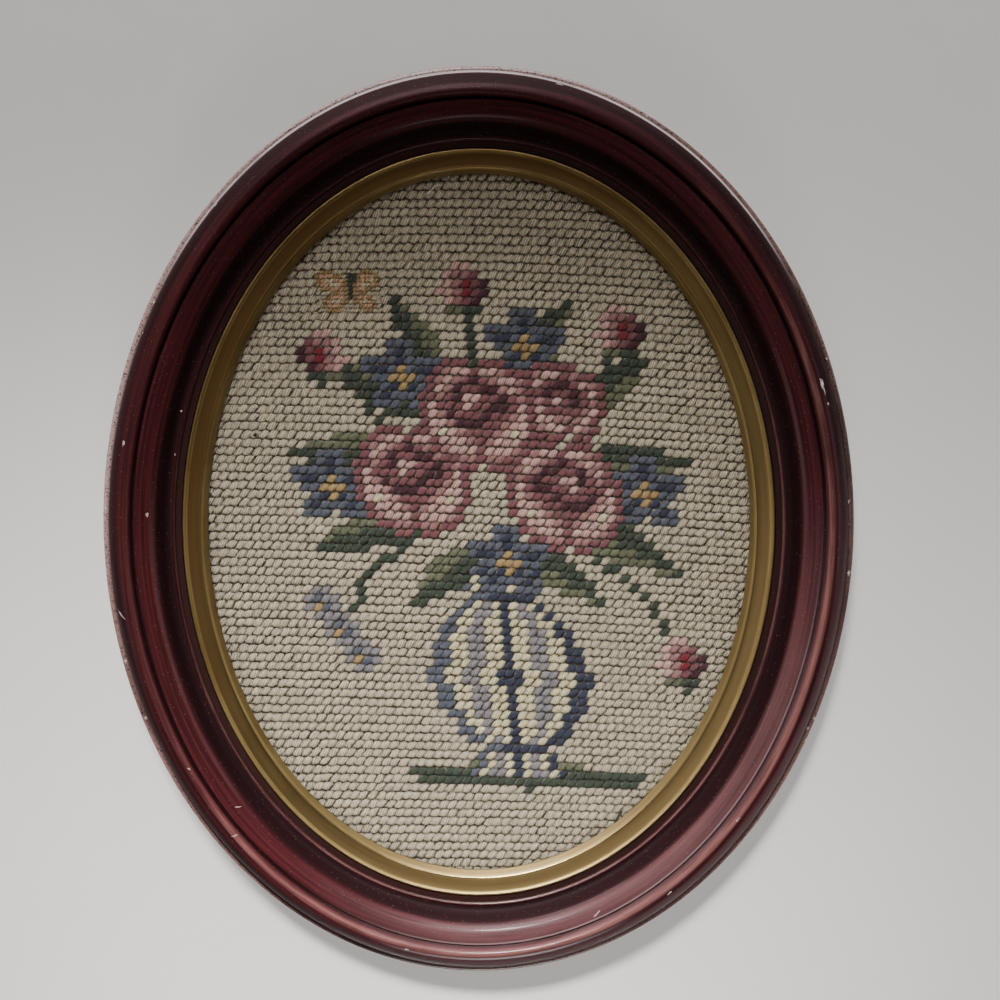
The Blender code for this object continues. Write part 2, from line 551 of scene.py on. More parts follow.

# %% [markdown]
# Each mask lays its colour over what is there already, painted shade, sheen and highlights among
# them. A clear lacquer over the glaze gives the soft lines of light. It has gone dull in the
# hollows, under the pinkish haze and along the top, where only the rim still shines.

# %% Burgundy lacquer
stain = blend_colours(
    ramp(marks["Streaks"], 0.28, 0.72), (0.024, 0.004, 0.006, 1), (0.088, 0.0145, 0.019, 1)
)
worn = layered(
    stain,
    # painted shade: the hollows, the cove and the outer slope are painted near black
    (largest(hollow, outer_slope), (0.010, 0.002, 0.003, 1)),
    (ledge, (0.024, 0.011, 0.009, 1)),
    # partly painted sheen: the pinkish haze low down and on the right
    (times(film_and_painted_sheen, uneven, 0.28), (0.30, 0.165, 0.175, 1)),
    # pale rubs that are also painted highlights, then the rim's painted light and the painted glint
    (crest_rub_and_highlight, (0.37, 0.165, 0.15, 1)),
    (shoulder_rub_and_highlight, (0.55, 0.40, 0.41, 1)),
    (arris_rub_and_highlight, (0.30, 0.14, 0.135, 1)),
    (rim_wear_and_painted_light, rim_colour_with_painted_light),
    (painted_glint_line, (0.92, 0.87, 0.87, 1)),
    (small_chips, (0.55, 0.47, 0.40, 1)),
    (times(ramp(marks["Specks"], 0.12, 0.06), 0.35), (0.42, 0.36, 0.32, 1)),
)
dull_slope = times(outer_slope, ramp(handled_and_lit, 0.9, 0.2, 0.6, 1))
dull = largest(hollow, dull_slope)
dulled = plus(dull, times(film_and_painted_sheen, on_band, 0.52))
dulled = times(dulled, ramp(inset, 1.2, 2.4, 0, 0.95))
gloss = calculate("SUBTRACT", ramp(uneven, 0.7, 1.3, 0.62, 0.35), dulled)
gloss = times(gloss, ramp(handled_and_lit, 0, 0.3, 0.15, 1))
lacquer = {
    "Base Color": worn,
    "Roughness": ramp(dull, 0, 0.6, 0.42, 0.62),
    "Specular IOR Level": 0.12,
    "Coat Weight": plus(gloss, ramp(on_rim, 0.5, 1, 0, 0.8)),
    "Coat Roughness": 0.13,
    "Normal": bump(uneven, 0.07 * MM, 0.5),
}
connect(tree, finish, lacquer)
print("lacquer has", len(tree.nodes), "nodes")

# %% [markdown]
# The moulding is turned first. It takes the place of the plain solid, whose section is the same
# in fewer steps.

# %% Frame moulding
frame_moulding = turned_ring(MOULDING_ROWS)
settle(frame_moulding, "lacquered_moulding", burgundy, smooth_below=35)
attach(frame_moulding, "root")
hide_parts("frame_moulding")

# %% [markdown]
# Knocks have chipped the glaze down to the pale ground, mostly on the bead, and a few scratches
# cross it. Each is a ragged flat patch laid over its place and shrunk onto the wood. The table
# says where: degrees round the frame from the right, inset from the edge, length, width and turn.

# %% Chips and scratches
CHIPS = (
    # (round in degrees, inset mm, length mm, width mm, turn in degrees off the run)
    (177.2, 16.0, 1.3, 1.1, 0),
    (167.9, 6.6, 2.0, 0.65, 0),
    (168.5, 22.6, 0.8, 0.7, 0),
    (162, 22.0, 0.6, 0.5, 0),
    (176.7, 0.9, 2.2, 0.9, 5),
    (174.4, 2.4, 1.4, 0.6, 5),
    (149.5, 2.0, 1.1, 0.8, 20),
    (153.6, 2.8, 1.3, 0.7, 10),
    (134, 2.7, 1.5, 0.6, 0),
    (77.7, 2.9, 2.6, 0.8, 4),
    (47.8, 2.7, 1.6, 0.8, 15),
    (19.8, 6.0, 5.0, 1.0, 3),
    (17.2, 5.6, 1.2, 0.7, 0),
    (4.1, 1.9, 1.3, 0.7, 0),
    (-5.1, 1.0, 2.0, 0.8, 0),
    (190.4, 4.6, 4.2, 0.45, 42),
    (222.6, 15.5, 2.2, 0.35, 60),
    (213.4, 9.2, 1.2, 0.5, 30),
    (225.2, 9.0, 2.6, 0.4, 75),
    (291, 13.5, 3.4, 0.35, 24),
    (303, 7.0, 2.2, 0.5, 10),
    (318, 8.4, 1.6, 0.6, 0),
    (258, 7.6, 1.4, 0.6, 0),
)
RAGGED = 0.28
CHIP_HEIGHT = 0.035 * MM

surface = surface_of(frame_moulding)
begin()
chips = []
for round_degrees, inset_mm, length, width, turn in CHIPS:
    angle = math.radians(round_degrees)
    radius = HALF_WIDTH - inset_mm * MM
    over = Vector((radius * math.cos(angle), (radius + STRETCH) * math.sin(angle), 1))
    hit, normal, _, _ = surface.ray_cast(over, DOWN)
    run = Vector((-radius * math.sin(angle), (radius + STRETCH) * math.cos(angle), 0)).normalized()
    run = Quaternion(normal, math.radians(turn)) @ (run - normal * run.dot(normal)).normalized()
    frame_turn = Matrix((run, normal.cross(run), normal)).transposed().to_4x4()
    bpy.ops.mesh.primitive_circle_add(vertices=14, radius=0.5 * MM, fill_type="TRIFAN")
    chip = bpy.context.object
    for vert in chip.data.vertices:
        if vert.co.length > 0.1 * MM:
            vert.co *= 1 + RAGGED * random.standard_normal()
        vert.co.x *= length
        vert.co.y *= width
    chip.matrix_world = Matrix.Translation(hit + normal * 0.3 * MM) @ frame_turn
    edit_all()
    bpy.ops.mesh.subdivide(number_cuts=2)
    bpy.ops.object.mode_set(mode="OBJECT")
    chips.append(chip)
begin()
for chip in chips:
    chip.select_set(True)
bpy.context.view_layer.objects.active = chips[0]
bpy.ops.object.join()
bpy.ops.object.transform_apply(location=True, rotation=True, scale=True)
chipped = bpy.context.object
modifier = chipped.modifiers.new("onto the wood", "SHRINKWRAP")
modifier.target = frame_moulding
modifier.wrap_mode = "ABOVE_SURFACE"
modifier.offset = CHIP_HEIGHT
bpy.ops.object.modifier_apply(modifier="onto the wood")

bare_wood, tree, finish = new_material("chipped_ground")
grain = ramp(noise(object_place(tree), 900, 3), 0.35, 0.65)
ground = blend_colours(grain, (0.42, 0.30, 0.25, 1), (0.84, 0.80, 0.75, 1))
connect(tree, finish, {"Base Color": ground, "Roughness": 0.8})
settle(chipped, "chips_and_scratches", bare_wood)
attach(chipped, "root")

# %% [markdown]
# The slip was painted by hand with gold bronze, so its outer edge wavers and bare burgundy shows
# beside it. The flat facet is painted darker brown as painted shade, and the top is painted darker
# brown, partly tarnished and partly painted shade. Its hollows and inner bevel are painted darker
# as painted shade. The ridge and rim are painted bright as painted highlights, and the gold is
# painted lighter low down and on the right as painted light, where the frame is most often held
# and best lit.

# %% Gold paint
gold, tree, finish = new_material("gold_bronze_paint")
lay, relief, inset, handled_and_lit, marks = ring_measures(tree)
on_facet = between(inset, 28.0, 28.8, 32.6, 33.2)
toward_the_top = ramp(handled_and_lit, 0.6, 0, 0, 0.8)
tarnish_and_shade = times(toward_the_top, ramp(on_facet, 0, 1, 0.4, 1))
hollow_and_bevel_shade = largest(ramp(relief, -0.1, -0.9, 0, 0.5), ramp(inset, 33.5, 34.2, 0, 0.35))
painted_ridge_highlight = times(
    ramp(relief, 0.15, 0.6),
    ramp(handled_and_lit, 0, 0.5, 0.1, 0.45),
    ramp(inset, 29.0, 31.0, 0.2, 1),
    ramp(on_facet, 0, 1, 1, 0.4),
)
brush = noise(stretched(lay, (110, 110, 110)), 1, 3, 0.6)
bare = ramp(plus(inset, times(brush, 1.1)), 27.55, 27.40)

bronze = blend_colours(
    ramp(marks["Clouds"], 0.3, 0.7), (0.215, 0.150, 0.056, 1), (0.32, 0.235, 0.098, 1)
)
painted = layered(
    bronze,
    # partly tarnished, partly painted shade at the top; then the facet's painted shade, painted light
    # low down and on the right, painted shade in the hollows and on the bevel, and painted ridge
    # highlights
    (tarnish_and_shade, (0.068, 0.028, 0.008, 1)),
    (times(on_facet, 0.8), (0.068, 0.038, 0.014, 1)),
    (ramp(handled_and_lit, 0.4, 1, 0, 0.6), (0.46, 0.33, 0.145, 1)),
    (hollow_and_bevel_shade, (0.14, 0.10, 0.05, 1)),
    (painted_ridge_highlight, (0.66, 0.50, 0.22, 1)),
    (bare, (0.045, 0.009, 0.011, 1)),
)
roughness = plus(
    ramp(relief, 0.75, 0.35, 0.22, 0.50),
    times(tarnish_and_shade, 0.25),
    ramp(inset, 28.8, 28.0, 0, 0.20),
    ramp(marks["Streaks"], 0.3, 0.7, 0, 0.08),
)
gilding = {
    "Base Color": painted,
    "Metallic": ramp(bare, 0, 1, 1, 0),
    "Roughness": roughness,
    "Normal": bump(marks["Streaks"], 0.05 * MM, 0.3),
}
connect(tree, finish, gilding)
print("gold has", len(tree.nodes), "nodes")

# %% [markdown]
# The slip is turned in the same way, from its own section. The wood under the paint is true, so
# the wavering edge is left to the paint.

# %% Gilt slip
gilt_slip = turned_ring(SLIP_ROWS)
settle(gilt_slip, "gilded_slip", gold, smooth_below=35)
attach(gilt_slip, "root")
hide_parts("gilt_slip")

# %% [markdown]
# ## Board and canvas
#
# A plain board fills the rabbet behind the work. It keeps the solid's own shape and gets the
# look of grey-brown paper board, which shows only from behind.

# %% Board
paper, tree, finish = new_material("paper_board")
place = object_place(tree)
pulp = noise(place, 240, 4, 0.7)
stains = noise(place, 14, 3, 0.6)
stained = layered(
    (0.27, 0.20, 0.125, 1),
    (ramp(stains, 0.35, 0.7), (0.20, 0.145, 0.09, 1)),
    (ramp(pulp, 0.55, 0.8), (0.36, 0.29, 0.20, 1)),
)
relief_of_pulp = bump(pulp, 0.08 * MM, 0.5)
connect(tree, finish, {"Base Color": stained, "Roughness": 0.88, "Normal": relief_of_pulp})
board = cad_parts["backing_board"]
board.data.materials.clear()
board.data.materials.append(paper)
print("board finished")

# %% [markdown]
# The worked canvas pulls a little unevenly, and the solid has those shallow dips on its top. A
# ray dropped on the solid tells how high the work stands anywhere, so every stitch can follow.

# %% Height of the work
canvas_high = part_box("needlepoint_canvas")[1]
worked_top = surface_of(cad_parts["needlepoint_canvas"])


def work_height(x, y):
    """Height of the solid's top here, or of its highest point outside its edge."""
    hit = worked_top.ray_cast(Vector((x, y, 1)), DOWN)[0]
    return hit.z if hit else canvas_high.z


print("work stands", round(work_height(0, 0) / MM, 2), "mm above the back")

# %% [markdown]
# Needlepoint canvas is an open weave of stiff cotton threads. The wool hides nearly all of it,
# so the sheet itself stays thin and plain, and its weave is in the material. It lies on the
# board, stretched, and its edge runs under the slip.

# %% Canvas sheet
SHEET_THICKNESS = 0.7 * MM
SHEET_SPOKES, SHEET_RINGS = 96, 12
STITCH_HEIGHT = 1.75 * MM
COLUMN_PITCH, ROW_PITCH = 3.14 * MM, 3.04 * MM

begin()
bpy.ops.mesh.primitive_circle_add(vertices=SHEET_SPOKES, radius=canvas_high.x, fill_type="NGON")
canvas = bpy.context.object
edit_all()
for ring in range(SHEET_RINGS - 1):
    bpy.ops.mesh.inset(thickness=canvas_high.x / SHEET_RINGS)
bpy.ops.object.mode_set(mode="OBJECT")
points = points_of(canvas.data)
radius = np.maximum(np.hypot(points[:, 0], points[:, 1]), 1e-6)
points[:, 1] *= 1 + (canvas_high.y - canvas_high.x) / radius
for point in points:
    point[2] = work_height(point[0], point[1]) - STITCH_HEIGHT
move_points(canvas.data, points)
modifier = canvas.modifiers.new("thickness", "SOLIDIFY")
modifier.thickness = SHEET_THICKNESS
modifier.offset = -1
bpy.ops.object.modifier_apply(modifier="thickness")

cotton, tree, finish = new_material("cotton_canvas")
place = add_node(tree, "SeparateXYZ", {"Vector": object_place(tree)}).outputs
threads = [
    calculate("SINE", times(place[axis], math.tau / (pitch / 2)))
    for axis, pitch in (("X", COLUMN_PITCH), ("Y", ROW_PITCH))
]
weave = largest(*threads)
crossing = ramp(weave, -0.6, 0.8)
woven = {
    "Base Color": blend_colours(crossing, (0.21, 0.17, 0.115, 1), (0.42, 0.35, 0.25, 1)),
    "Roughness": 0.95,
    "Normal": bump(weave, 0.3 * MM, 0.8),
}
connect(tree, finish, woven)
settle(canvas, "cotton_canvas", cotton, smooth_below=60)
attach(canvas, "root")
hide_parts("needlepoint_canvas")

# %% [markdown]
# ## The stitch
#
# A tent stitch is one short slant of wool over one crossing of the canvas, from lower left to
# upper right. It rises out of one hole, swells where nothing holds it, and dives into the next.
# One stitch is modelled here and every other is a copy of it with its own small faults.
#
# A disc of wool is extruded ring by ring along the slant. Each row of the table is one ring: how
# far along it lies, how thick the yarn is there, and how far it has risen.

# %% One stitch
STITCH_SIDES = 9
STITCH_RINGS = (
    # (along -1 to 1, thickness 0 to 1, rise 0 to 1)
    (-1.0, 0.40, 0.00),
    (-0.93, 0.70, 0.50),
    (-0.72, 0.91, 0.85),
    (-0.36, 1.0, 1.00),
    (0.36, 1.0, 1.00),
    (0.72, 0.91, 0.85),
    (0.93, 0.70, 0.50),
    (1.0, 0.40, 0.00),
)

begin()
bpy.ops.mesh.primitive_circle_add(
    vertices=STITCH_SIDES, radius=STITCH_RINGS[0][1], fill_type="NGON", rotation=(0, math.pi / 2, 0)
)
stitch = bpy.context.object
bpy.ops.object.transform_apply(rotation=True)
edit_all()
for here, there in zip(STITCH_RINGS, STITCH_RINGS[1:]):
    step = (there[0] - here[0], 0, there[2] - here[2])
    bpy.ops.mesh.extrude_region_move(TRANSFORM_OT_translate={"value": step})
    grow = there[1] / here[1]
    bpy.ops.transform.resize(value=(1, grow, grow), center_override=(0, 0, there[2]))
bpy.ops.mesh.select_all(action="SELECT")
bpy.ops.mesh.normals_make_consistent(inside=False)
bpy.ops.object.mode_set(mode="OBJECT")
stitch_points = points_of(stitch.data)
stitch_points[:, 0] -= (stitch_points[:, 0].min() + stitch_points[:, 0].max()) / 2
stitch_faces = [tuple(face.vertices) for face in stitch.data.polygons]
bpy.data.objects.remove(stitch)
print("one stitch has", sum(len(face) - 2 for face in stitch_faces), "triangles")

# %% [markdown]
# Each copy gets its own length, width, lean, height and shade, because yarn is uneven and so is
# every hand. Tension drifts along a row, so neighbours are more alike than strangers.

# %% An uneven hand
LEAN = 51


def drift(columns, rows, reach, seed):
    """A slow waver from -1 to 1 over the canvas, the same on every run."""
    turns = np.random.default_rng(seed).uniform(0, math.tau, 8)
    total = np.zeros(len(columns))
    for k in range(4):
        across = math.cos(turns[k]) / reach * (1 + 0.6 * k)
        up = math.sin(turns[k]) / reach * (1 + 0.6 * k)
        total += np.sin(columns * across * math.tau + rows * up * math.tau + turns[k + 4])
    return total / 2.4


def by_chance(count, spread):
    """Small faults either way, most of them within the spread."""
    return spread * random.standard_normal(count)


print("stitches lean at", LEAN, "degrees")

# %% [markdown]
# Fine hairs arch over the stitches and catch the light, which is painted on them as a lighter
# shade: a painted highlight. Hair particles would be lost in an export, so each hair is a narrow
# ribbon of three faces.

# %% Loose fibres
FIBRES_EACH, FIBRE_WIDTH = 2.2, 0.07 * MM


def loose_fibres(x, y, top, scale):
    """Fine hairs that arch over the stitches: four pairs of points each, as a flat ribbon."""
    count = int(len(x) * FIBRES_EACH * scale)
    fibres = np.zeros((count, 4, 2, 3))
    if count == 0:
        return fibres
    owner = random.integers(0, len(x), count)
    heading = np.radians(LEAN + by_chance(count, 30))
    length = random.uniform(0.9, 2.6, count) * MM * (0.5 + 0.5 * scale)
    arch = random.uniform(0.05, 0.30, count) * MM
    curl = random.uniform(-0.35, 0.35, count)
    start_x = x[owner] + random.uniform(-1.2, 1.2, count) * MM * scale
    start_y = y[owner] + random.uniform(-0.9, 0.9, count) * MM * scale
    cosine, sine = np.cos(heading), np.sin(heading)
    for k, share in enumerate((-0.5, -0.17, 0.17, 0.5)):
        bow = curl * length * (0.25 - share**2)
        middle_x = start_x + length * share * (cosine - curl * share * sine) - bow * sine
        middle_y = start_y + length * share * (sine + curl * share * cosine) + bow * cosine
        for side in (0, 1):
            half = (side - 0.5) * FIBRE_WIDTH
            fibres[:, k, side, 0] = middle_x - half * sine
            fibres[:, k, side, 1] = middle_y + half * cosine
            fibres[:, k, side, 2] = top[owner] - 0.10 * MM + arch * (1 - (2 * share) ** 2)
    return fibres


print("fibres to a stitch:", FIBRES_EACH)

# %% [markdown]
# Thousands of stitches are too many to place by hand, and the modelling tools would be slow at
# it. The points of the one stitch are stretched, turned and moved for all its copies at once, and
# one mesh is filled with them. Each point keeps where it lies along and round the yarn, its shade
# and how deep it lies, for the wool to read; the wool paints the deep parts darker as painted
# shade. The stitches along the slip are painted darker, as painted shade.

# %% Copies of the stitch
HALF_LENGTH, HALF_WIDTH_OF_YARN = 1.81 * MM, 1.30 * MM
END_SLANT = 0.50
YARN_DEPTH = 0.56 * MM
STRAND_WIDTH = 0.92 * MM
SUNK, ROOT_HEIGHT = 0.12 * MM, 0.3 * MM
FIBRE_HIGHLIGHT = 3.0
EDGE_SHADE, EDGE_REACH = 4.0, 4.5 * MM


def mesh_from(name, points, sizes, corners):
    """A mesh from its points, how many corners each face has, and all the corners in order."""
    mesh = bpy.data.meshes.new(name)
    mesh.vertices.add(len(points))
    mesh.vertices.foreach_set("co", points.astype(np.float32).ravel())
    mesh.loops.add(len(corners))
    mesh.loops.foreach_set("vertex_index", corners.astype(np.int32))
    mesh.polygons.add(len(sizes))
    starts = np.concatenate(([0], np.cumsum(sizes)[:-1]))
    mesh.polygons.foreach_set("loop_start", starts.astype(np.int32))
    mesh.polygons.foreach_set("loop_total", sizes.astype(np.int32))
    mesh.update(calc_edges=True)
    return mesh


def stitch_mesh(name, cells, scale=1.0):
    """Lays one copy of the stitch on each cell: a column and a row, which may be halves."""
    cells = np.array(sorted(cells, key=lambda cell: (-cell[1], cell[0])), float)
    count = len(cells)
    columns, rows = cells.T

    # the faults of each copy
    x, y = on_canvas(columns, rows)
    crown = np.array([work_height(*place) for place in zip(x, y)])
    tight = drift(columns, rows * 7.3, 11, 5)
    length = HALF_LENGTH * scale * (1 + by_chance(count, 0.03) + 0.03 * tight)
    width = HALF_WIDTH_OF_YARN * scale * (1 + by_chance(count, 0.045) - 0.04 * tight)
    depth = YARN_DEPTH * (0.45 + 0.55 * scale) * (1 + by_chance(count, 0.05))
    rise = (STITCH_HEIGHT - ROOT_HEIGHT) * (0.8 if scale < 1 else 1) - depth
    lean = np.radians(LEAN + by_chance(count, 3.2) + 3 * drift(columns, rows * 5, 17, 8))
    x = x + by_chance(count, 0.07 * MM * scale)
    y = y + by_chance(count, 0.09 * MM * scale)
    top = crown + 0.10 * MM * by_chance(count, 1).clip(-1.5, 1.0) - SUNK

    # the copies in their places, followed by the fibres
    along, side, up = stitch_points.T
    ring_places, _, ring_rises = zip(*STITCH_RINGS)
    middle = np.interp(along, ring_places, ring_rises)
    round_part = up - middle
    bend = by_chance((count, 1), 0.10)
    local_x = length[:, None] * along - END_SLANT * width[:, None] * side * np.abs(along)
    local_y = width[:, None] * (side + bend * (1 - along**2))
    local_z = rise[:, None] * (middle - max(ring_rises)) + depth[:, None] * round_part
    cosine, sine = np.cos(lean)[:, None], np.sin(lean)[:, None]
    turned = np.empty((count, len(along), 3))
    turned[..., 0] = x[:, None] + cosine * local_x - sine * local_y
    turned[..., 1] = y[:, None] + sine * local_x + cosine * local_y
    turned[..., 2] = (top - depth)[:, None] + local_z
    fibres = loose_fibres(x, y, top, scale)
    on_fibres = len(fibres) * 8
    first = (np.arange(count) * len(along))[:, None]
    first_of_fibre = (count * len(along) + np.arange(len(fibres)) * 8)[:, None]
    ribbon = np.array([0, 1, 3, 2, 2, 3, 5, 4, 4, 5, 7, 6])
    of_stitches = (np.concatenate(stitch_faces) + first).ravel()
    corners = (of_stitches, (ribbon + first_of_fibre).ravel())
    sizes = (np.tile([len(face) for face in stitch_faces], count), np.full(len(fibres) * 3, 4))
    placed = (turned.reshape(-1, 3), fibres.reshape(-1, 3))
    mesh = mesh_from(name, *(np.concatenate(both) for both in (placed, sizes, corners)))

    # what the wool needs to know
    yarn = np.empty((count, len(along), 3))
    yarn[..., 0] = local_x
    yarn[..., 1] = np.arctan2(side, round_part) * width[:, None]
    yarn[..., 2] = random.uniform(0, 1, count)[:, None]
    # fibres take the strands' bright crest and a lighter shade: a painted highlight
    on_crest = np.tile((0, STRAND_WIDTH / 2, 0), (on_fibres, 1))
    yarn = np.concatenate((yarn.reshape(-1, 3), on_crest))
    shade = by_chance(count, 0.55) + 0.7 * drift(columns, rows * 3.1, 23, 3)
    # painted shade: stitches near the slip are darker
    shade -= EDGE_SHADE * np.clip(1 - from_edge(x, y) / EDGE_REACH, 0, 1)
    shade = np.append(np.repeat(shade, len(along)), np.full(on_fibres, FIBRE_HIGHLIGHT))
    # painted shade where the yarn sinks at its ends and sides
    sunk_shade = np.maximum((1 - middle) ** 0.75, 0.9 * np.abs(side / np.abs(side).max()) ** 3)
    sunk_shade = np.append(np.tile(sunk_shade, count), np.zeros(on_fibres))
    add_attribute(mesh, "yarn", "FLOAT_VECTOR", yarn)
    add_attribute(mesh, "shade", "FLOAT", shade)
    add_attribute(mesh, "sunk_shade", "FLOAT", sunk_shade)
    return mesh


print("a stitch is", round(2 * HALF_LENGTH / MM, 2), "mm long")

# %% [markdown]
# Slanting stitches pull a canvas out of square. Here the columns lean to the right going down,
# and the rows sag a little and bow near the top.

# %% The grid of the worked canvas
COLUMN_LEAN = 0.09
ROW_FALL = 0.05
ROW_BOW = 1.1


def on_canvas(columns, rows):
    """Where a crossing of the canvas lies, in metres."""
    y = rows * ROW_PITCH
    x = columns * COLUMN_PITCH - COLUMN_LEAN * y
    up = np.clip(y / canvas_high.y, -1, 1)
    fall = ROW_FALL * (1 - up**2) * x
    bow = (0.3 + ROW_BOW * np.maximum(up, 0) ** 2) * x**2 / 2
    return x, y - fall - bow + 0.6 * MM


def from_edge(x, y):
    """About how far inside the sight opening a place lies, in metres."""
    across, up = HALF_WIDTH - SIGHT_EDGE * MM, HALF_HEIGHT - SIGHT_EDGE * MM
    return (1 - np.hypot(x / across, y / up)) * (across + up) / 2


print("stitches to the inch:", round(25.4 * MM / COLUMN_PITCH, 1))

# %% [markdown]
# ## The chart
#
# Stitchers work from a chart: one letter is one stitch, and each letter is a skein of wool. The
# picture here is a plain vase of flowers of the kind found in any old pattern book. Roses, a
# small blue flower and a bud are each charted once. Leaves, stems and the vase follow
# simple rules.

# %% Skeins
SKEINS = {
    # letter: (name, colour from 0 to 255)
    "W": ("wine", (70, 30, 40)),
    "R": ("rose", (122, 74, 78)),
    "D": ("dusty_rose", (156, 112, 110)),
    "P": ("pale_pink", (198, 158, 150)),
    "C": ("cream", (206, 196, 158)),
    "N": ("navy", (46, 50, 68)),
    "S": ("slate_blue", (84, 88, 100)),
    "L": ("grey_lilac", (130, 125, 128)),
    "G": ("dark_green", (56, 66, 52)),
    "M": ("moss_green", (100, 104, 78)),
    "K": ("cherry", (124, 34, 44)),
    "Y": ("old_gold", (166, 138, 92)),
    "E": ("peach", (206, 164, 130)),
}

ROSE = """
...RRR.RRR...
..RDPPRPPDRR.
.RDPDRWRDPPDR
.RPDWRRWWDPDR
RRDRWPPRRWRDR
RPRRRPRRWWRPR
RPDWRRRWRRDPR
RPPDWWWRRDPPR
RPCPDRRRDPCPR
.RPPPDRDPPPR.
.RDPPPRPPPDR.
..RRDDRDDRR..
....RR.RR....
"""
SMALL_ROSE = """
..RRRRR...
.RDPPRDRR.
RDPRWWRPDR
RPRWRRWRPR
RPDRPRWRDR
RDPRRRRDPR
.RPPDDDPR.
.RDPPRPDR.
..RRR.RR..
"""
BUD = """
..PP..
.PDDR.
.PDKRW
PPDKRW
.PDRW.
.MMGG.
...G..
"""
BLUE_FLOWER = """
...SSS...
...SNS...
SSSSNSSSS
SNNSYSNNS
.SSYYYSS.
..SNYNS..
.SNSSSNS.
.SSS.SSS.
"""
FORGET_ME_NOT = """
.LL.
LSLL
LYSL
.LL.
"""

# A butterfly, charted at half the size for petit point: four small stitches to one crossing.
BUTTERFLY = """
.YYY......YYY.
YEEEYY.GGYEEEY
YECCEEYGGYEECY
YEECCEYGYECCEY
.YYEEEYGYEEYY.
...YYEYGYYY...
..YEEEYGYEEY..
.YECCEY.YECEY.
.YEEEY...YEEY.
..YYY.....YY..
"""

print("skeins:", [name for name, colour in SKEINS.values()])

# %% [markdown]
# The chart gives each cell, a column and a row from the middle, the letter of its skein. What is
# drawn later covers what is there. Leaves and stems follow from where they start and end, so one
# can be moved without charting it again.

# %% Drawing on the chart
CHART_COLUMNS, CHART_ROWS = 37, 43
chart = {}


def place_motif(text, column, row, mirrored=False):
    """Puts a charted motif on the canvas with its middle on this cell."""
    lines = text.split()
    for down, line in enumerate(lines):
        line = line[::-1] if mirrored else line
        for right, letter in enumerate(line):
            if letter != ".":
                cell = (column + right - len(line) // 2, row + len(lines) // 2 - down)
                chart[cell] = letter


def leaf(column, row, tip_column, tip_row, half_width):
    """A pointed leaf from its stalk to its tip, dark on one side of its rib."""
    run, climb = tip_column - column, tip_row - row
    length = math.hypot(run, climb)
    for c in range(-CHART_COLUMNS, CHART_COLUMNS + 1):
        for r in range(-CHART_ROWS, CHART_ROWS + 1):
            along = ((c - column) * run + (r - row) * climb) / length**2
            beside = ((c - column) * climb - (r - row) * run) / length
            if 0 <= along <= 1 and abs(beside) <= half_width * math.sin(math.pi * along**0.8) + 0.35:
                chart[c, r] = "M" if beside > 0.3 else "G"


def stem(*stops):
    for (c0, r0), (c1, r1) in zip(stops, stops[1:]):
        steps = max(abs(c1 - c0), abs(r1 - r0))
        for k in range(steps + 1):
            chart[round(c0 + (c1 - c0) * k / steps), round(r0 + (r1 - r0) * k / steps)] = "G"


VASE_FOOT, VASE_TALL, VASE_MIDDLE = -29, 25, 0
STRIPES = "SCLCNCLCN"


def vase():
    """A striped vase: foot, neck and belly by one outline, with dark bands round it."""
    for rise in range(VASE_TALL):
        level = rise / (VASE_TALL - 1)
        foot = 5.4 - 14 * level if level < 0.13 else 0
        belly = 2.9 + 6.2 * math.sin(math.pi * min(1, max(0, (level - 0.1) / 0.78))) ** 0.8
        lip = 3.4 + 13 * (level - 0.84) if level > 0.84 else 0
        half = max(foot, belly if level > 0.1 else 0, lip, 2.6)
        for c in range(-11, 12):
            if abs(c) > half:
                continue
            letter = STRIPES[min(len(STRIPES) - 1, int((c / half + 1) / 2 * len(STRIPES)))]
            if rise in (3, VASE_TALL - 4, VASE_TALL - 1):
                letter = "N" if c > -half * 0.4 else "S"
            chart[VASE_MIDDLE + c, VASE_FOOT + rise] = letter


print("chart of", 2 * CHART_COLUMNS + 1, "by", 2 * CHART_ROWS + 1, "cells")

# %% [markdown]
# The bouquet is drawn from the back forwards: the table and the vase, then leaves, stems and
# flowers, with three large roses over all. It is balanced from side to side, but not mirrored.

# %% The bouquet
for c in range(-14, 17):
    for r in range(VASE_FOOT - 2, VASE_FOOT + 2):
        if ((c - 1) / 14) ** 2 + ((r - VASE_FOOT + 0.4) / 1.6) ** 2 <= 1:
            chart[c, r] = "M" if r > VASE_FOOT else "G"
vase()
LEAVES = (
    # (column, row, tip column, tip row, half width)
    (-7, 2, -20, -3, 2.0),
    (-10, 8, -22, 8, 1.9),
    (8, 2, 20, -4, 2.0),
    (10, 8, 22, 9, 1.9),
    (-8, 13, -17, 19, 1.8),
    (10, 14, 18, 20, 1.8),
    (-5, 18, -9, 26, 1.6),
    (5, 19, 10, 26, 1.7),
    (-3, -3, -10, -9, 1.7),
    (4, -3, 11, -8, 1.7),
)
STEMS = (
    ((-1, 18), (-1, 25)),
    ((-12, 12), (-16, 19)),
    ((13, 15), (15, 22)),
    ((-9, -1), (-15, -6), (-18, -12)),
    ((9, -1), (16, -7), (19, -12)),
)
MOTIFS = (
    # (motif, column, row, True where it is mirrored), from the back of the bouquet forwards
    (BUD, -1, 27),
    (BUD, -17, 19, True),
    (BUD, 16, 23),
    (BUD, 20, -15),
    (FORGET_ME_NOT, -18, -13),
    (FORGET_ME_NOT, -20, -10),
    (FORGET_ME_NOT, -16, -16),
    (BLUE_FLOWER, -9, 17),
    (BLUE_FLOWER, 17, 5, True),
    (BLUE_FLOWER, 5, 21, True),
    (BLUE_FLOWER, -18, 4),
    (SMALL_ROSE, 9, 15),
    (BLUE_FLOWER, 1, -4),
    (ROSE, -9, 5),
    (ROSE, 8, 4, True),
    (ROSE, -1, 13),
)
for row in LEAVES:
    leaf(*row)
for row in STEMS:
    stem(*row)
for row in MOTIFS:
    place_motif(*row)
print("stitches in the bouquet:", len(chart))
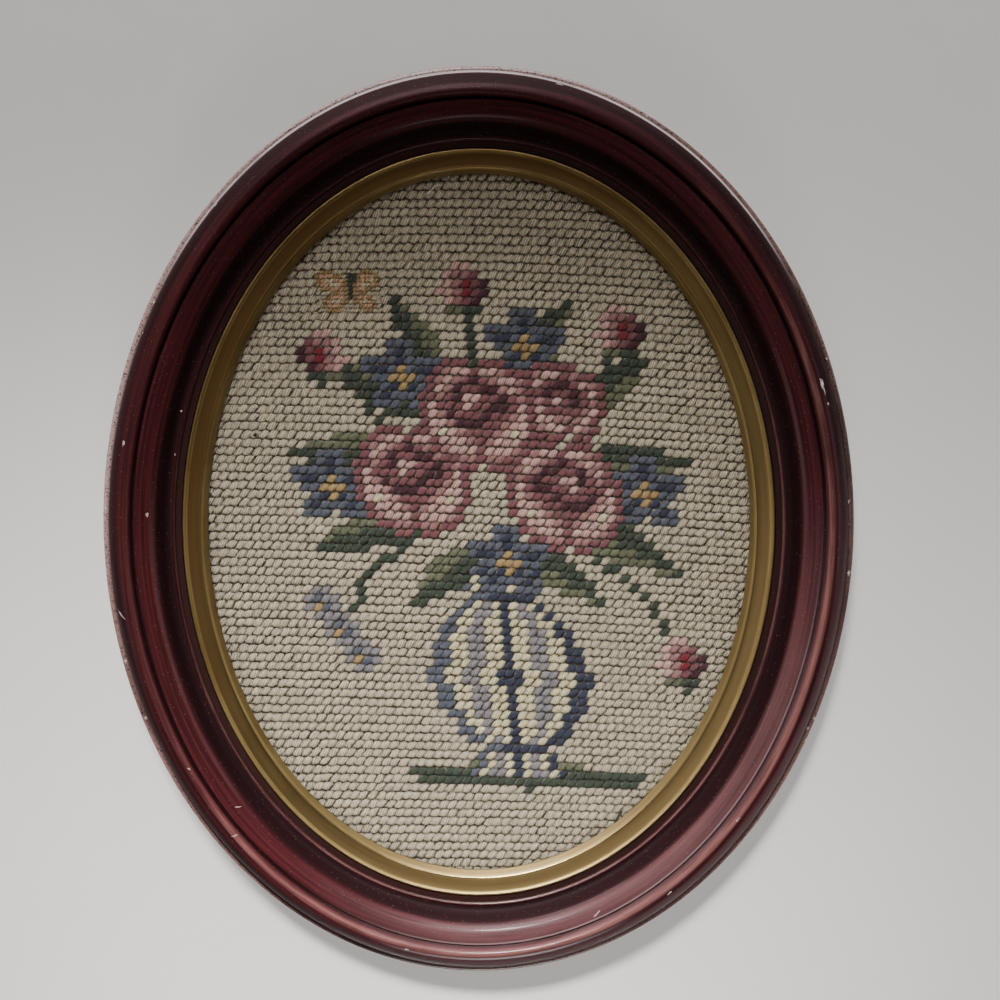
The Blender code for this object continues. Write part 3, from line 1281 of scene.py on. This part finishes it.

# %% [markdown]
# ## Wool
#
# Tapestry wool is two or three soft strands laid together. Each strand catches the light as a
# fine slanting line, the gaps between are dark, and loose fibre blurs the edges. One node group
# makes the strands and the fuzz, painting that light as a painted highlight and the dark gaps as
# painted shade, and each skein only adds its dye.

# %% Wool
def wool_group():
    """Strands and fuzz from the yarn's own measure, tinted by the dye, with painted highlight and
    painted shade.
    """
    gives = {"Color": "Color", "Height": "Float"}
    group, takes, result = new_group("wool_strands", {"Dye": "Color"}, gives)
    measure = read_attribute(group, "yarn", "Vector")
    yarn = add_node(group, "SeparateXYZ", {"Vector": measure}).outputs
    twisted = plus(yarn["Y"], times(yarn["X"], -0.25), times(yarn["Z"], 0.01))
    wave = calculate("SINE", times(twisted, math.pi / STRAND_WIDTH))
    strands = calculate("ABSOLUTE", wave)
    along_strand = add_node(group, "CombineXYZ", {"X": yarn["X"], "Y": twisted, "Z": yarn["Z"]})
    fibres = noise(stretched(along_strand.outputs[0], (500, 3800, 40)), 1, 3, 0.65)
    # painted highlight on the strands, painted shade between them and where the yarn sinks
    light = plus(
        times(read_attribute(group, "shade"), 0.055),
        ramp(strands, 0.05, 0.95, -0.36, 0.20),
        ramp(fibres, 0.3, 0.7, -0.25, 0.25),
        times(read_attribute(group, "sunk_shade"), -0.36),
        1.0,
    )
    dyed = add_node(group, "HueSaturation", {"Color": takes["Dye"], "Value": light})
    height = plus(times(strands, 0.8), fibres)
    connect(group, result, {"Color": dyed.outputs["Color"], "Height": height})
    return group


wool_strands = wool_group()


def wool(name, dye):
    made, tree, finish = new_material(name)
    strands = place_group(tree, wool_strands, {"Dye": dye})
    spun = {
        "Base Color": strands["Color"],
        "Normal": bump(strands["Height"], 0.22 * MM, 0.9),
        "Roughness": 0.92,
        "Specular IOR Level": 0.25,
        "Sheen Weight": 0.35,
        "Sheen Roughness": 0.45,
    }
    connect(tree, finish, spun)
    return made


print("wool has", len(wool_strands.nodes), "nodes")

# %% [markdown]
# Every crossing that shows gets a stitch, and the work runs on a little under the slip. The
# stitches of one skein are one piece, and the ground is worked in four bands, so that no piece
# grows too large. The butterfly takes the place of the ground under it, with four small stitches
# to a crossing.

# %% Pieces of stitching
def petit_cells(text, column, row):
    """Half cells of a small chart, by letter, and the whole cells that they take the place of."""
    small, whole = {}, set()
    for down, line in enumerate(text.split()[::-1]):
        for right, letter in enumerate(line):
            small.setdefault(letter, []).append((column + right / 2 - 0.25, row + down / 2 - 0.25))
            whole.add((column + right // 2, row + down // 2))
    return small, whole


def stitched_piece(name, cells, material, scale=1.0):
    """A joined mesh of stitches as a finished piece."""
    piece = bpy.data.objects.new(name, stitch_mesh(name, cells, scale))
    bpy.context.scene.collection.objects.link(piece)
    settle(piece, name, material, smooth_below=180)
    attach(piece, "root")
    return piece


print("ready to stitch")

# %% Stitch the picture
GROUND_COLOUR = (187, 176, 152)
MOTIF_SHIFT = 2
HIDDEN_WORK = 3.4 * MM
BANDS = 4
PETIT_SCALE = 0.5

petit, petit_whole = petit_cells(BUTTERFLY, -15, 25)
cells_of = {letter: [] for letter in SKEINS}
ground_cells = []
for r in range(-CHART_ROWS, CHART_ROWS + 1):
    for c in range(-CHART_COLUMNS, CHART_COLUMNS + 1):
        if (c, r) in petit_whole or from_edge(*on_canvas(c, r)) < -HIDDEN_WORK:
            continue
        letter = chart.get((c - MOTIF_SHIFT, r))
        (cells_of[letter] if letter else ground_cells).append((c, r))

for letter, (name, colour) in SKEINS.items():
    skein = wool(name + "_wool", linear(*colour))
    if cells_of[letter]:
        stitched_piece("stitches_" + name, cells_of[letter], skein)
    if letter in petit:
        stitched_piece("petit_point_" + name, petit[letter], skein, PETIT_SCALE)

ground_wool = wool("greige_wool", linear(*GROUND_COLOUR))
stitched_piece("petit_point_ground", petit["."], ground_wool, PETIT_SCALE)
ground_cells.sort(key=lambda cell: cell[1])
for band in range(BANDS):
    first, last = (share * len(ground_cells) // BANDS for share in (band, band + 1))
    cells = ground_cells[first:last]
    stitched_piece(f"ground_stitches_{band + 1}", cells, ground_wool)

# %% [markdown]
# Age shows in a few loose ends: a pale thread sprung out near the top, a tuft of lint and a dark
# end caught at the lower edge of the slip, and a burr and a stray fibre on the left. Each is a
# short wandering curve given some thickness.

# %% Loose ends
LOOSE_ENDS = (
    # (name, skein colour, middle of the end in mm, reach in mm, thickness in mm, turns)
    ("sprung_thread", linear(225, 218, 200), (-15.0, 117.6), 2.9, 0.20, 0.5),
    ("lint_tuft", linear(196, 190, 178), (50.5, -103.0), 1.8, 0.09, 3.4),
    ("caught_end", linear(52, 56, 44), (50.0, -103.6), 2.2, 0.40, 1.2),
    ("caught_burr", linear(34, 30, 26), (-78.0, 33.5), 0.5, 0.45, 0.5),
    ("stray_fibre", linear(190, 184, 168), (-71.0, -36.0), 2.8, 0.08, 0.8),
)
for name, dye, (x, y), reach_mm, thickness, turns in LOOSE_ENDS:
    begin()
    bpy.ops.curve.primitive_bezier_curve_add()
    end = bpy.context.object
    spline = end.data.splines[0]
    spline.bezier_points.add(5)
    for k, point in enumerate(spline.bezier_points):
        share = k / 6 - 0.5
        across = x + 2 * reach_mm * share * math.cos(0.5)
        swing = 0.45 * reach_mm * math.sin(math.tau * turns * share + 1)
        place = Vector((across, y + swing + reach_mm * share * 0.5)) * MM
        lift = (0.25 + 0.35 * abs(math.sin(4 * share + x))) * MM
        point.co = (place.x, place.y, work_height(place.x, place.y) + lift)
        point.handle_left_type = point.handle_right_type = "AUTO"
    end.data.bevel_depth = thickness * MM
    end.data.bevel_resolution = 1
    end.data.use_fill_caps = True
    bpy.ops.object.convert(target="MESH")
    end = bpy.context.object
    fibre, tree, finish = new_material(name + "_fibre")
    connect(tree, finish, {"Base Color": dye, "Roughness": 0.9})
    settle(end, name, fibre, smooth_below=60)
    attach(end, "root")

print("stitches:", len(ground_cells) + sum(len(cells) for cells in cells_of.values()))
